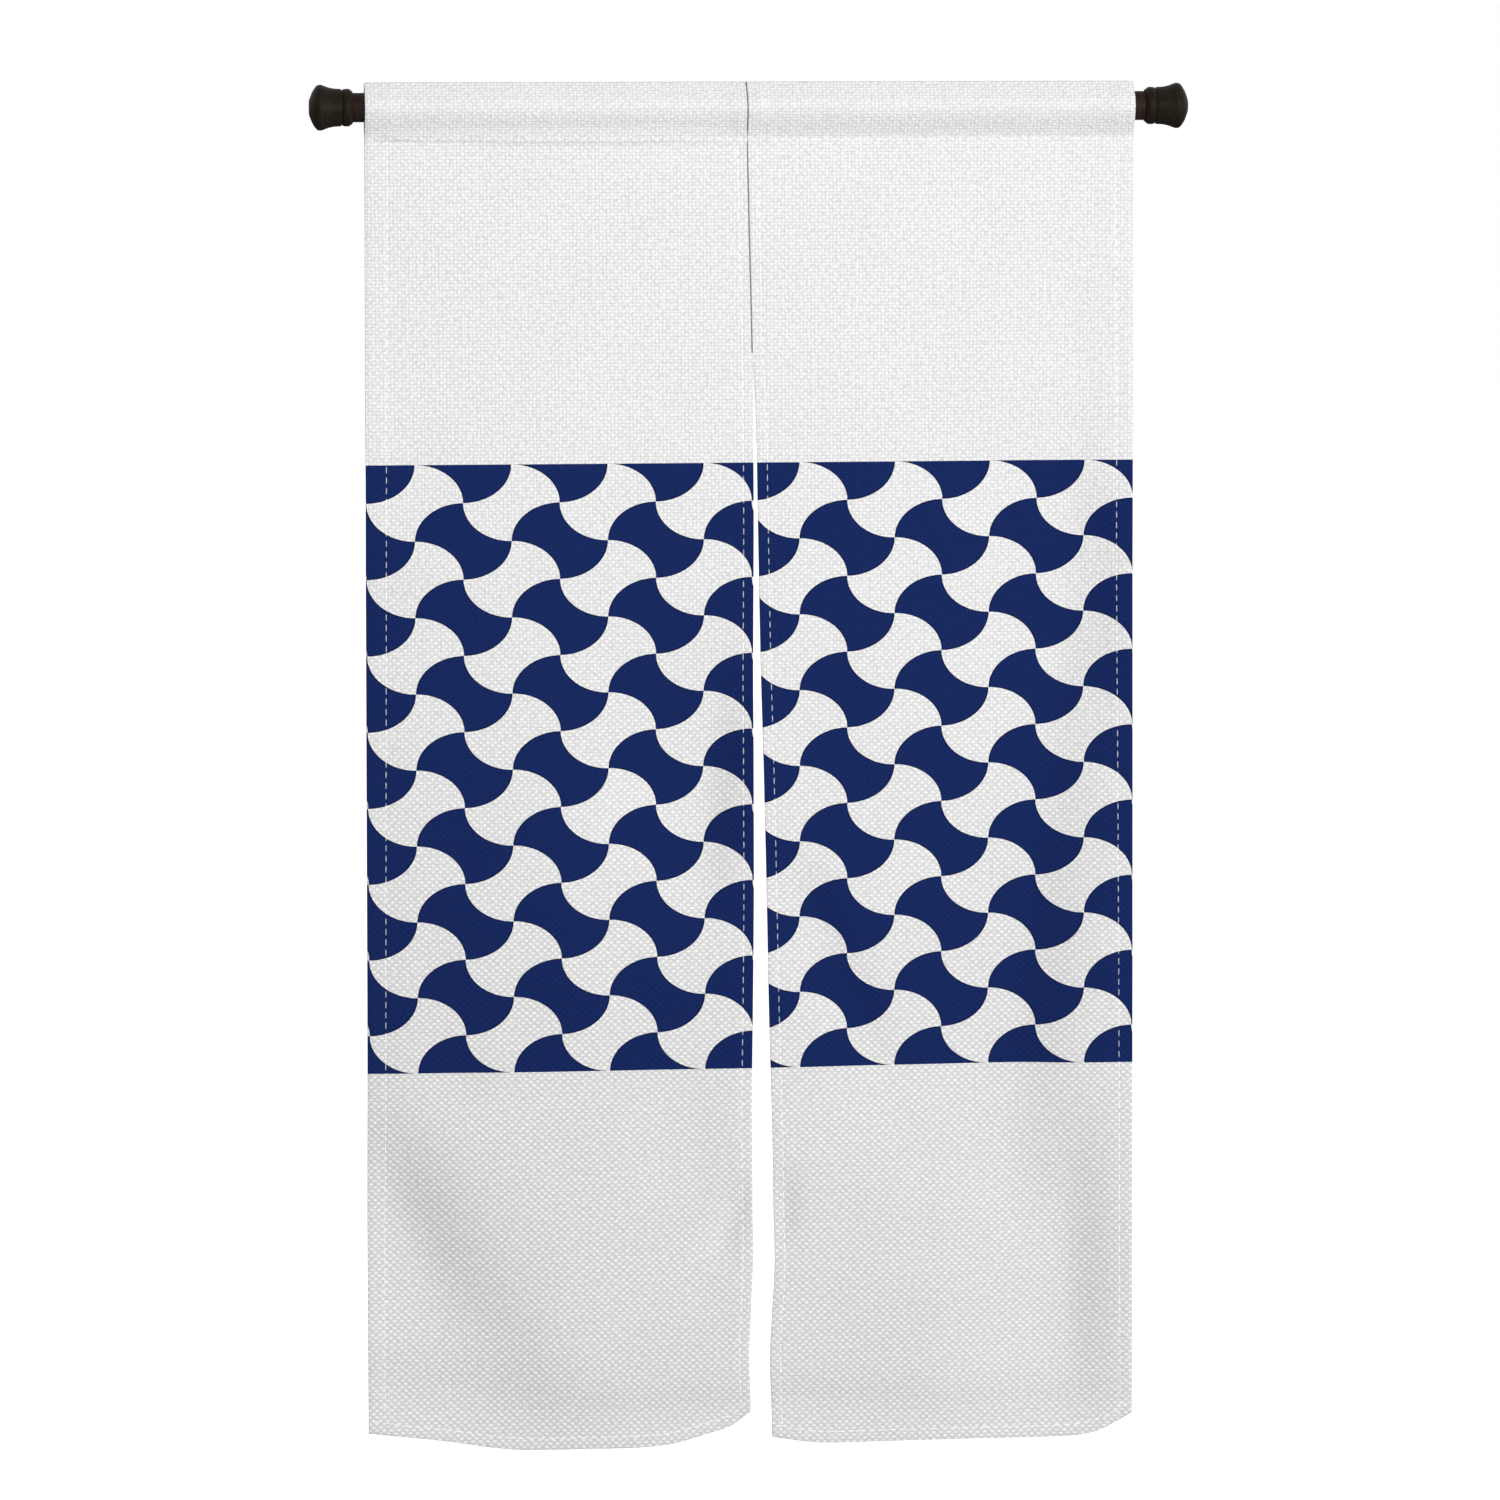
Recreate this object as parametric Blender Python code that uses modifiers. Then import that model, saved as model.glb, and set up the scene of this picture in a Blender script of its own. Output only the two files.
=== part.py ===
# Noren curtain: two cloth panels on a round pole with two turned end caps.
# Metres, +Z up. The origin is the middle of the pole's axis, X runs along the pole,
# and the front of the curtain faces -Y.

import math

import bpy
import bmesh
from mathutils import Vector

# Cloth
CLOTH_DROP = 1.500
CLOTH_THICKNESS = 0.0012
HEM_THICKNESS = 0.0024
LEFT_OUTER_HEM = (0.0260, 0.0190)
RIGHT_OUTER_HEM = (0.0210, 0.0140)
INNER_HEM = 0.0125
FOOT_HEM = 0.0116
HEM_STEP = 0.002
FRONT_FACE_Y = -0.0015
LAYER_GAP = 0.0004
SEAM_DROP = 0.297
SEAM_GAP = 0.0003
SLIT_TAPER = 0.020

# Pocket for the pole
POCKET_TOP = 0.0274
STITCH_DROP = 0.062
FLAP_TAIL = 0.009
TOP_FOLD_RADIUS = 0.004

# Pole and end caps
POLE_RADIUS = 0.016
SEAT_GAP = 0.0003
TIP_X = 0.4845
SOCKET_DEPTH = 0.014
POLE_SIDES = 32
SHARP_ANGLE = math.radians(40)
QUARTER_TURN = math.radians(90)
CAP_SIDES = 28
AXIS_MERGE = 0.00001

# Mesh steps
PLAIN_COLUMNS = 17
HANGING_ROWS = 27
FOOT_HEM_ROW = 1
ARC_STEPS = 3
FOLD_STEPS = 2

# The slit, looked at from the front: drop from the top edge, the left panel's edge
# and the right panel's edge. Down to the end of the seam the two are one line.
SLIT = (
    # drop, left panel's edge, right panel's edge
    (0.000, -0.0052, -0.0052),
    (0.150, -0.0022, -0.0022),
    (0.297, 0.0010, 0.0012),
    (0.355, 0.0014, 0.0050),
    (0.470, 0.0021, 0.0070),
    (0.640, 0.0012, 0.0100),
    (0.750, 0.0017, 0.0130),
    (0.915, 0.0013, 0.0167),
    (1.030, 0.0000, 0.0187),
    (1.140, -0.0013, 0.0216),
    (1.250, -0.0005, 0.0236),
    (1.310, -0.0005, 0.0245),
    (1.364, -0.0028, 0.0216),
    (1.420, -0.0048, 0.0190),
    (1.471, -0.0031, 0.0208),
    (1.520, -0.0040, 0.0222),
)

# The curtain's outer edges, which part a little towards the foot.
OUTER_EDGES = (
    # drop, left edge, right edge
    (0.000, -0.4238, 0.4240),
    (1.520, -0.4288, 0.4270),
)

# The bottom edges: share of the panel's width from its left side, and the drop there.
LEFT_FOOT = (
    # share, drop
    (0.000, 1.4945),
    (0.110, 1.5000),
    (0.220, 1.5060),
    (0.330, 1.5135),
    (0.420, 1.5166),
    (0.600, 1.5162),
    (0.720, 1.5155),
    (0.800, 1.5120),
    (0.890, 1.5018),
    (0.950, 1.4935),
    (1.000, 1.4785),
)
RIGHT_FOOT = (
    # share, drop
    (0.000, 1.5070),
    (0.070, 1.5117),
    (0.140, 1.5147),
    (0.300, 1.5145),
    (0.550, 1.5138),
    (0.830, 1.5132),
    (0.900, 1.5087),
    (0.955, 1.4985),
    (1.000, 1.4885),
)

# Soft folds, each along a line on the panel from its head to its foot. A positive
# depth falls back from the viewer and a negative one swells towards them.
LEFT_FOLDS = (
    # head x, head drop, foot x, foot drop, width on the left, on the right, depth
    (-0.230, 0.250, -0.235, 1.750, 0.120, 0.120, -0.0030),
    (-0.480, 1.081, -0.089, 1.774, 0.200, 0.054, 0.0060),
    (-0.491, 1.030, -0.299, 1.505, 0.120, 0.056, 0.0155),
    (-0.032, 0.560, -0.074, 0.985, 0.100, 0.038, 0.0140),
    (-0.432, 0.450, -0.425, 1.150, 0.030, 0.034, 0.0030),
)
RIGHT_FOLDS = (
    # head x, head drop, foot x, foot drop, width on the left, on the right, depth
    (0.366, 0.060, 0.345, 0.640, 0.100, 0.036, 0.0035),
    (0.362, 0.310, 0.265, 1.360, 0.170, 0.056, 0.0165),
    (0.388, 0.400, 0.384, 0.780, 0.060, 0.026, 0.0042),
    (0.350, 1.100, 0.352, 1.560, 0.090, 0.042, 0.0155),
)
FADE_WIDTHS = 3.0
FOLDS_START = 0.090
FOLDS_GROW = 0.300

# End cap: distance in from the tip along the axis, and the radius there.
CAP_PROFILE = (
    # inset, radius
    (0.0000, 0.0080),
    (0.0019, 0.0131),
    (0.0037, 0.0173),
    (0.0059, 0.0209),
    (0.0085, 0.0240),
    (0.0110, 0.0249),
    (0.0133, 0.0249),
    (0.0180, 0.0232),
    (0.0210, 0.0221),
    (0.0252, 0.0211),
    (0.0297, 0.0206),
    (0.0344, 0.0204),
    (0.0352, 0.0192),
    (0.0366, 0.0192),
    (0.0374, 0.0203),
    (0.0432, 0.0205),
    (0.0476, 0.0171),
)


def clear_scene():
    for thing in list(bpy.data.objects):
        bpy.data.objects.remove(thing, do_unlink=True)


def new_collection(name):
    collection = bpy.data.collections.new(name)
    bpy.context.scene.collection.children.link(collection)
    return collection


def principled(name, colour, roughness, metallic):
    material = bpy.data.materials.new(name)
    material.use_nodes = True
    shader = material.node_tree.nodes["Principled BSDF"]
    shader.inputs["Base Color"].default_value = (*colour, 1.0)
    shader.inputs["Roughness"].default_value = roughness
    shader.inputs["Metallic"].default_value = metallic
    material.diffuse_color = (*colour, 1.0)
    return material


def read_curve(rows, at, column):
    """Value of a column of rows at a place along the first column, on a smooth curve."""
    last = len(rows) - 2
    step = 0
    while step < last and rows[step + 1][0] < at:
        step += 1

    def slope(index):
        low = max(index - 1, 0)
        high = min(index + 1, len(rows) - 1)
        return (rows[high][column] - rows[low][column]) / (rows[high][0] - rows[low][0])

    start, end = rows[step], rows[step + 1]
    span = end[0] - start[0]
    t = min(max((at - start[0]) / span, 0.0), 1.0)
    return (
        (2 * t**3 - 3 * t**2 + 1) * start[column]
        + (t**3 - 2 * t**2 + t) * span * slope(step)
        + (3 * t**2 - 2 * t**3) * end[column]
        + (t**3 - t**2) * span * slope(step + 1)
    )


def ease(t):
    t = min(max(t, 0.0), 1.0)
    return t * t * (3 - 2 * t)


def slit_edge(drop, side):
    """X of the inner edge of the left (side -1) or right (side 1) panel."""
    seam = read_curve(SLIT, drop, 1) + side * SEAM_GAP / 2
    open_edge = read_curve(SLIT, drop, 1 if side < 0 else 2) + side * SEAM_GAP / 2
    return seam + (open_edge - seam) * ease((drop - SEAM_DROP) / SLIT_TAPER)


def panel_edges(drop, side):
    """X of the panel's left and right edges at a drop from the top."""
    if side < 0:
        return read_curve(OUTER_EDGES, drop, 1), slit_edge(drop, side)
    return slit_edge(drop, side), read_curve(OUTER_EDGES, drop, 2)


def fold_depth(folds, x, drop):
    """How far the folds push the cloth back at a place on the panel."""
    depth = 0.0
    for head_x, head_drop, foot_x, foot_drop, left_width, right_width, deep in folds:
        head = Vector((head_x, head_drop))
        run = Vector((foot_x, foot_drop)) - head
        place = Vector((x, drop)) - head
        along = place.dot(run) / run.length
        aside = run.normalized().cross(place)
        width = left_width if aside > 0 else right_width
        fade = FADE_WIDTHS * (left_width + right_width) / 2
        grown = ease(along / fade) * ease((run.length - along) / fade)
        depth += deep * grown * math.exp(-((aside / width) ** 2))
    return depth * ease((drop - FOLDS_START) / FOLDS_GROW)


def side_hems(side, drop):
    """Widths of the hems at a panel's left and right edges. The outer hem narrows downwards."""
    head, foot = LEFT_OUTER_HEM if side < 0 else RIGHT_OUTER_HEM
    outer = head + (foot - head) * min(max(drop / CLOTH_DROP, 0.0), 1.0)
    return (outer, INNER_HEM) if side < 0 else (INNER_HEM, outer)


def panel_columns():
    """Columns of the cloth from left to right, as (share, on the edge, in the hem).

    Share is the place on the plain cloth between the hems, and a column of a hem is at
    share 0 or 1, either on the panel's edge or where the hem ends.
    """
    columns = [(0, True, True), (0, False, True)]
    for index in range(PLAIN_COLUMNS + 1):
        columns.append((index / PLAIN_COLUMNS, False, False))
    return columns + [(1, False, True), (1, True, True)]


def column_x(column, drop, side):
    """X of a column at a drop from the top."""
    share, on_edge, in_hem = column
    left_x, right_x = panel_edges(drop, side)
    if not on_edge:
        left_hem, right_hem = side_hems(side, drop)
        step = 0.0 if in_hem else HEM_STEP
        left_x += left_hem + step
        right_x -= right_hem + step
    return left_x + share * (right_x - left_x)


def hanging_column(column, side, foot_rows, folds):
    """Points of one column on the front of the cloth, from the foot to the stitch line."""
    left_x, right_x = panel_edges(CLOTH_DROP, side)
    share = (column_x(column, CLOTH_DROP, side) - left_x) / (right_x - left_x)
    foot_drop = read_curve(foot_rows, share, 1)
    hem_top = foot_drop - FOOT_HEM - HEM_STEP
    drops = [foot_drop, foot_drop - FOOT_HEM, hem_top]
    for index in range(1, HANGING_ROWS):
        drops.append(hem_top + (STITCH_DROP - hem_top) * index / HANGING_ROWS)
    points = []
    for drop in drops:
        x = column_x(column, drop, side)
        points.append((x, FRONT_FACE_Y + fold_depth(folds, x, drop), POCKET_TOP - drop))
    return points


def pocket_half(reach, foot_y):
    """(y, z) of the pocket's outer face, from the stitch line up to the top fold.

    The pole is at the origin, reach is the distance of the face from its axis, and
    foot_y is how far from the pole's plane the face is at the stitch line.
    """
    stitch_z = POCKET_TOP - STITCH_DROP
    low = math.atan2(foot_y, -stitch_z) + math.acos(reach / math.hypot(foot_y, stitch_z))
    fold_z = POCKET_TOP - TOP_FOLD_RADIUS
    high = math.acos((reach - TOP_FOLD_RADIUS) / fold_z)
    points = [(foot_y, stitch_z)]
    step = (math.pi - high - low) / ARC_STEPS
    corner = reach / math.cos(step / 2)
    for index in range(ARC_STEPS + 1):
        turn = low + step * index
        points.append((corner * math.sin(turn), -corner * math.cos(turn)))
    for index in range(FOLD_STEPS):
        turn = high * (1 - index / FOLD_STEPS)
        y = TOP_FOLD_RADIUS * math.sin(turn)
        points.append((y, fold_z + TOP_FOLD_RADIUS * math.cos(turn)))
    return points


def pocket_column(column, side):
    """Points of one column round the pole, from the stitch line to the flap's end."""
    thickness = HEM_THICKNESS if column[2] else CLOTH_THICKNESS
    reach = POLE_RADIUS + SEAT_GAP + thickness
    back_y = FRONT_FACE_Y + 2 * thickness + LAYER_GAP
    path = [(-y, z) for y, z in pocket_half(reach, -FRONT_FACE_Y)]
    path.append((0.0, POCKET_TOP))
    path += reversed(pocket_half(reach, back_y))
    path.append((back_y, POCKET_TOP - STITCH_DROP - FLAP_TAIL))
    return [(column_x(column, POCKET_TOP - z, side), y, z) for y, z in path]


def make_panel(name, side, foot_rows, folds, material, collection):
    """One strip of cloth: up the front, over the pole and down behind to its flap."""
    columns = panel_columns()
    places = []
    for column in columns:
        front = hanging_column(column, side, foot_rows, folds)
        places.append(front + pocket_column(column, side))
    last_column = len(columns) - 1
    last_row = len(places[0]) - 1
    grid = bmesh.new()
    bmesh.ops.create_grid(grid, x_segments=last_column, y_segments=last_row, size=1.0)
    in_hem = []
    for vertex in grid.verts:
        across = round((vertex.co.x + 1) / 2 * last_column)
        up = round((vertex.co.y + 1) / 2 * last_row)
        vertex.co = places[across][up]
        in_hem.append(columns[across][2] or up <= FOOT_HEM_ROW)
    mesh = bpy.data.meshes.new(name)
    grid.to_mesh(mesh)
    grid.free()
    mesh.materials.append(material)
    mesh.shade_smooth()
    panel = bpy.data.objects.new(name, mesh)
    collection.objects.link(panel)
    layers = panel.vertex_groups.new(name="layers")
    for index, folded in enumerate(in_hem):
        layers.add([index], 1.0 if folded else CLOTH_THICKNESS / HEM_THICKNESS, "REPLACE")
    solid = panel.modifiers.new("cloth", "SOLIDIFY")
    solid.thickness = HEM_THICKNESS
    solid.offset = -1.0
    solid.vertex_group = layers.name
    solid.thickness_vertex_group = 0.0
    return panel


def make_pole(material, collection):
    half = TIP_X - CAP_PROFILE[-1][0] + SOCKET_DEPTH - SEAT_GAP
    mesh = bpy.data.meshes.new("pole")
    body = bmesh.new()
    bmesh.ops.create_cone(
        body,
        cap_ends=True,
        segments=POLE_SIDES,
        radius1=POLE_RADIUS,
        radius2=POLE_RADIUS,
        depth=2 * half,
    )
    body.to_mesh(mesh)
    body.free()
    mesh.materials.append(material)
    mesh.shade_smooth()
    mesh.set_sharp_from_angle(angle=SHARP_ANGLE)
    pole = bpy.data.objects.new("pole", mesh)
    pole.rotation_euler = (0.0, QUARTER_TURN, 0.0)
    collection.objects.link(pole)
    return pole


def make_cap(name, side, material, collection):
    """A turned cap whose socket slides over the end of the pole."""
    bore = POLE_RADIUS + SEAT_GAP
    mouth = CAP_PROFILE[-1][0]
    profile = [(0.0, 0.0)] + [(radius, -inset) for inset, radius in CAP_PROFILE]
    profile += [(bore, -mouth), (bore, -mouth + SOCKET_DEPTH), (0.0, -mouth + SOCKET_DEPTH)]
    mesh = bpy.data.meshes.new(name)
    outline = bmesh.new()
    points = [outline.verts.new((radius, 0.0, z)) for radius, z in profile]
    for first, second in zip(points, points[1:]):
        outline.edges.new((first, second))
    outline.to_mesh(mesh)
    outline.free()
    mesh.materials.append(material)
    cap = bpy.data.objects.new(name, mesh)
    turn = cap.modifiers.new("turned", "SCREW")
    turn.steps = CAP_SIDES
    turn.render_steps = CAP_SIDES
    turn.use_merge_vertices = True
    turn.merge_threshold = AXIS_MERGE
    turn.use_smooth_shade = True
    cap.location = (side * TIP_X, 0.0, 0.0)
    cap.rotation_euler = (0.0, side * QUARTER_TURN, 0.0)
    collection.objects.link(cap)
    return cap


def main():
    clear_scene()
    collection = new_collection("noren_curtain")
    white_cloth = principled("white_cloth", (0.83, 0.83, 0.83), 0.9, 0.0)
    pole_finish = principled("pole_finish", (0.021, 0.014, 0.012), 0.5, 0.0)
    cap_finish = principled("cap_finish", (0.019, 0.015, 0.011), 0.5, 0.0)
    make_panel("panel_left", -1, LEFT_FOOT, LEFT_FOLDS, white_cloth, collection)
    make_panel("panel_right", 1, RIGHT_FOOT, RIGHT_FOLDS, white_cloth, collection)
    make_pole(pole_finish, collection)
    make_cap("cap_left", -1, cap_finish, collection)
    make_cap("cap_right", 1, cap_finish, collection)


main()
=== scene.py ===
import math

import bmesh
import bpy
import numpy as np
from mathutils import Matrix, Vector, noise


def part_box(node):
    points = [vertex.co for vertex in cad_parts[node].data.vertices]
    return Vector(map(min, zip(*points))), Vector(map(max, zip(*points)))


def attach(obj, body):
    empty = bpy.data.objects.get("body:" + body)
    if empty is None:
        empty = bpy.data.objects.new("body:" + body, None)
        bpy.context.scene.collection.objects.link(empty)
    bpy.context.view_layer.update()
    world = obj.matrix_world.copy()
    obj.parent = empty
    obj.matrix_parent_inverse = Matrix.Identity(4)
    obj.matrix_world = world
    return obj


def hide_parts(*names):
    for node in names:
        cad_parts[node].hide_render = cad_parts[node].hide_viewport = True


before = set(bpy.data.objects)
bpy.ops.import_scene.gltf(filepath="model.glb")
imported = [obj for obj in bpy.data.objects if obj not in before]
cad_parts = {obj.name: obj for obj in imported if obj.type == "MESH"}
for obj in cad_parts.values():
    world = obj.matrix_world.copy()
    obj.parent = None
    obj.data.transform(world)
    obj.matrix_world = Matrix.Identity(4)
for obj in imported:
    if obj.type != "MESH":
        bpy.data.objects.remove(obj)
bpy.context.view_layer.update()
print("frame loaded:", sorted(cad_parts))

# Sizes in metres. The origin is the middle of the pole's axis, the front faces -Y, Z is up.
curtain = {
    "halfWidth": 0.425,
    "drop": 1.500,
    "clothThickness": 0.0008,
    "layerStep": 0.00105,       # from one layer of a hem to the next
    "outerHem": 0.025,
    "innerHem": 0.0125,
    "footHem": 0.0116,
    "hemEase": 0.010,           # over which the cloth comes back from two layers to one
    "frontFaceY": -0.0015,
    "pocketTop": 0.0274,
    "stitchDrop": 0.062,
    "flapTail": 0.009,
    "topFoldRadius": 0.0036,
    "pocketEase": 15.0,         # degrees above the straight tangent where the cloth leaves the pole
    "pocketLean": 0.75,         # how straight the cloth runs from the stitches to the pole, 0 to 1
    "creaseRows": (0.0090, 0.0066, 0.0048, 0.0034, 0.0022, 0.0011),
    "seamDrop": 0.297,
    "seamGap": 0.0002,
    "slitTaper": 0.020,
    "laneSpacing": 0.0048,
    "rowSpacing": 0.0058,
    "frontPoints": 12,          # rows from the stitches up to the pole
}

pole = {
    "radius": 0.016,
    "seatGap": 0.0003,
    "bevel": 0.0006,
    "rings": 24,
    "sides": 96,
}

cap = {
    "tipX": 0.4845,
    "socketDepth": 0.014,
    "mouthBevel": 0.0002,
    "sides": 96,
    "profile": (                # inset from the tip, radius
        (0.0000, 0.0080),
        (0.0008, 0.0104),
        (0.0019, 0.0131),
        (0.0028, 0.0153),
        (0.0037, 0.0173),
        (0.0048, 0.0192),
        (0.0059, 0.0209),
        (0.0072, 0.0226),
        (0.0085, 0.0240),
        (0.0097, 0.0246),
        (0.0110, 0.0249),
        (0.0121, 0.0250),
        (0.0133, 0.0249),
        (0.0156, 0.0242),
        (0.0180, 0.0232),
        (0.0210, 0.0221),
        (0.0252, 0.0211),
        (0.0297, 0.0206),
        (0.0342, 0.0204),
        (0.0347, 0.0202),
        (0.0351, 0.0195),
        (0.0356, 0.0192),
        (0.0363, 0.0192),
        (0.0368, 0.0195),
        (0.0373, 0.0202),
        (0.0400, 0.0205),
        (0.0430, 0.0205),
        (0.0440, 0.0202),
        (0.0474, 0.0176),
        (0.0476, 0.0171),
    ),
}

# The slit from the front: drop, the left panel's edge, the right panel's edge.
slitRows = (
    (0.000, -0.0052, -0.0052),
    (0.150, -0.0022, -0.0022),
    (0.297, 0.0010, 0.0012),
    (0.355, 0.0014, 0.0050),
    (0.470, 0.0021, 0.0070),
    (0.640, 0.0012, 0.0100),
    (0.750, 0.0017, 0.0130),
    (0.915, 0.0013, 0.0167),
    (1.030, 0.0000, 0.0187),
    (1.140, -0.0013, 0.0216),
    (1.250, -0.0005, 0.0236),
    (1.310, -0.0005, 0.0245),
    (1.364, -0.0028, 0.0216),
    (1.420, -0.0048, 0.0190),
    (1.471, -0.0031, 0.0208),
    (1.520, -0.0040, 0.0222),
)

# The outer edges: drop, left edge, right edge.
outerRows = (
    (0.000, -0.4238, 0.4240),
    (1.520, -0.4288, 0.4270),
)

# Each panel: its foot as (share of the width, drop), how its left and right hem narrow from
# head to foot, and its folds along lines as (head x, head drop, foot x, foot drop, width on
# the left or below, width on the right or above, depth back).
panels = {
    "clothLeft": {
        "node": "panel_left",
        "side": -1,
        "foot": (
            (0.00, 1.4945), (0.11, 1.5000), (0.22, 1.5060), (0.33, 1.5135), (0.42, 1.5166),
            (0.60, 1.5162), (0.72, 1.5155), (0.80, 1.5120), (0.89, 1.5018), (0.95, 1.4935),
            (1.00, 1.4785),
        ),
        "hemScale": ((1.04, 0.76), (1.00, 1.00)),
        "folds": (
            (-0.230, 0.250, -0.235, 1.750, 0.120, 0.120, -0.0030),
            (-0.480, 1.081, -0.089, 1.774, 0.200, 0.054, 0.0060),
            (-0.491, 1.030, -0.299, 1.505, 0.120, 0.056, 0.0155),
            (-0.540, 1.425, -0.180, 1.478, 0.046, 0.030, 0.0032),
            (-0.250, 1.480, 0.060, 1.474, 0.034, 0.022, 0.0028),
            (-0.032, 0.560, -0.074, 0.985, 0.100, 0.038, 0.0140),
            (-0.432, 0.450, -0.425, 1.150, 0.030, 0.034, 0.0030),
            (0.000, 1.205, -0.050, 1.325, 0.022, 0.016, 0.0065),
            (-0.062, 1.050, -0.066, 1.380, 0.050, 0.028, 0.0025),
            (-0.350, 1.000, -0.315, 1.180, 0.050, 0.030, 0.0030),
        ),
    },
    "clothRight": {
        "node": "panel_right",
        "side": 1,
        "foot": (
            (0.000, 1.5070), (0.070, 1.5117), (0.140, 1.5147), (0.300, 1.5145), (0.550, 1.5138),
            (0.830, 1.5132), (0.900, 1.5087), (0.955, 1.4985), (1.000, 1.4885),
        ),
        "hemScale": ((1.00, 1.00), (0.84, 0.56)),
        "folds": (
            (0.366, 0.060, 0.345, 0.640, 0.100, 0.036, 0.0035),
            (0.362, 0.310, 0.265, 1.360, 0.170, 0.056, 0.0165),
            (0.388, 0.400, 0.384, 0.780, 0.060, 0.026, 0.0042),
            (0.350, 1.100, 0.352, 1.560, 0.090, 0.042, 0.0155),
            (0.030, 0.830, 0.160, 1.130, 0.044, 0.026, 0.0042),
            (0.036, 1.185, 0.032, 1.320, 0.024, 0.016, 0.0050),
            (-0.060, 1.462, 0.230, 1.478, 0.036, 0.022, 0.0030),
            (0.160, 1.482, 0.520, 1.470, 0.034, 0.020, 0.0022),
        ),
    },
}

# The cloth by the pocket's stitches: middle, half length, how far it stands out below
# them, and how deep the crease under them is.
gathers = (
    (-0.215, 0.200, 0.0032, 0.0000),
    (-0.392, 0.026, 0.0000, 0.0034),
    (-0.325, 0.045, 0.0000, 0.0014),
)

gatherShape = {
    "below": 0.0085,            # over which the cloth comes back below the stitches
    "above": 0.0150,
    "creaseDrop": 0.0030,
    "creaseHeight": 0.0014,
}

foldShape = {
    "fadeWidths": 3.0,          # a fold fades at its ends over this many mean widths
    "start": 0.090,
    "grow": 0.300,
    "waver": 0.0007,            # small uneven waves of the hung cloth
    "waverSize": 0.085,
    "waverSeed": 11.0,
}

stitch = {
    "pitch": 0.0116,
    "length": 0.0076,
    "halfWidth": 0.00060,
    "halfHeight": 0.00042,
    "sides": 8,
    "rings": 6,
    "dip": 0.00035,             # how far the thread pulls the cloth in
    "dipWidth": 0.0016,
    "hemInset": 0.0016,         # from the hem's raw edge to its line of stitches
    "pocketShown": 0.5,         # the pocket's stitches lie deep in the crease
    "creaseBelow": 0.0005,      # from the pocket's last row down to its stitches
    "flapAbove": 0.0035,        # from the flap's raw edge up to its stitches
}


# Shape of the cloth

def ease(t):
    t = np.clip(t, 0.0, 1.0)
    return t * t * (3 - 2 * t)


def readCurve(rows, at, column):
    # a smooth curve through the rows, read at many places
    rows = np.array(rows, float)
    x, y = rows[:, 0], rows[:, column]
    slopes = np.empty(len(x))
    slopes[1:-1] = (y[2:] - y[:-2]) / (x[2:] - x[:-2])
    slopes[0] = (y[1] - y[0]) / (x[1] - x[0])
    slopes[-1] = (y[-1] - y[-2]) / (x[-1] - x[-2])
    at = np.asarray(at, float)
    step = np.clip(np.searchsorted(x, at) - 1, 0, len(x) - 2)
    span = x[step + 1] - x[step]
    t = np.clip((at - x[step]) / span, 0.0, 1.0)
    return (
        (2 * t**3 - 3 * t**2 + 1) * y[step]
        + (t**3 - 2 * t**2 + t) * span * slopes[step]
        + (3 * t**2 - 2 * t**3) * y[step + 1]
        + (t**3 - t**2) * span * slopes[step + 1]
    )


def slitEdge(drop, side):
    seam = readCurve(slitRows, drop, 1) + side * curtain["seamGap"] / 2
    openEdge = readCurve(slitRows, drop, 1 if side < 0 else 2) + side * curtain["seamGap"] / 2
    return seam + (openEdge - seam) * ease((drop - curtain["seamDrop"]) / curtain["slitTaper"])


def panelEdges(drop, side):
    if side < 0:
        return readCurve(outerRows, drop, 1), slitEdge(drop, side)
    return slitEdge(drop, side), readCurve(outerRows, drop, 2)


def foldDepth(panel, x, drop):
    depth = np.zeros(np.shape(x))
    for headX, headDrop, footX, footDrop, leftWidth, rightWidth, deep in panel["folds"]:
        runX, runDrop = footX - headX, footDrop - headDrop
        length = math.hypot(runX, runDrop)
        along = ((x - headX) * runX + (drop - headDrop) * runDrop) / length
        aside = (runX * (drop - headDrop) - runDrop * (x - headX)) / length
        fade = foldShape["fadeWidths"] * (leftWidth + rightWidth) / 2
        grown = ease(along / fade) * ease((length - along) / fade)
        depth += deep * grown * np.exp(-((aside / np.where(aside > 0, leftWidth, rightWidth)) ** 2))
    return depth * ease((drop - foldShape["start"]) / foldShape["grow"])


def waver(x, drop):
    size = foldShape["waverSize"]
    places = zip(np.ravel(x), np.ravel(drop))
    values = [noise.noise((a / size, b / size, foldShape["waverSeed"])) for a, b in places]
    return foldShape["waver"] * np.reshape(values, np.shape(x))


def gather(x, drop):
    # how far the cloth by the pocket's stitches stands out
    below = drop - curtain["stitchDrop"]
    hold = 1 - ease(np.where(below > 0, below / gatherShape["below"], -below / gatherShape["above"]))
    crease = np.exp(-(((below - gatherShape["creaseDrop"]) / gatherShape["creaseHeight"]) ** 2))
    out = np.zeros(np.shape(x))
    for middle, halfLength, stand, deep in gathers:
        out += (stand * hold - deep * crease) * np.exp(-(((x - middle) / halfLength) ** 4))
    return out


def hemWidths(side):
    outer, inner = curtain["outerHem"], curtain["innerHem"]
    return (outer, inner) if side < 0 else (inner, outer)


def hemScales(side, drop):
    # how wide the left and right hems are at a drop, against their nominal widths
    name = "clothLeft" if side < 0 else "clothRight"
    down = np.clip(drop / curtain["drop"], 0, 1)
    return [head + (foot - head) * down for head, foot in panels[name]["hemScale"]]


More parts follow.
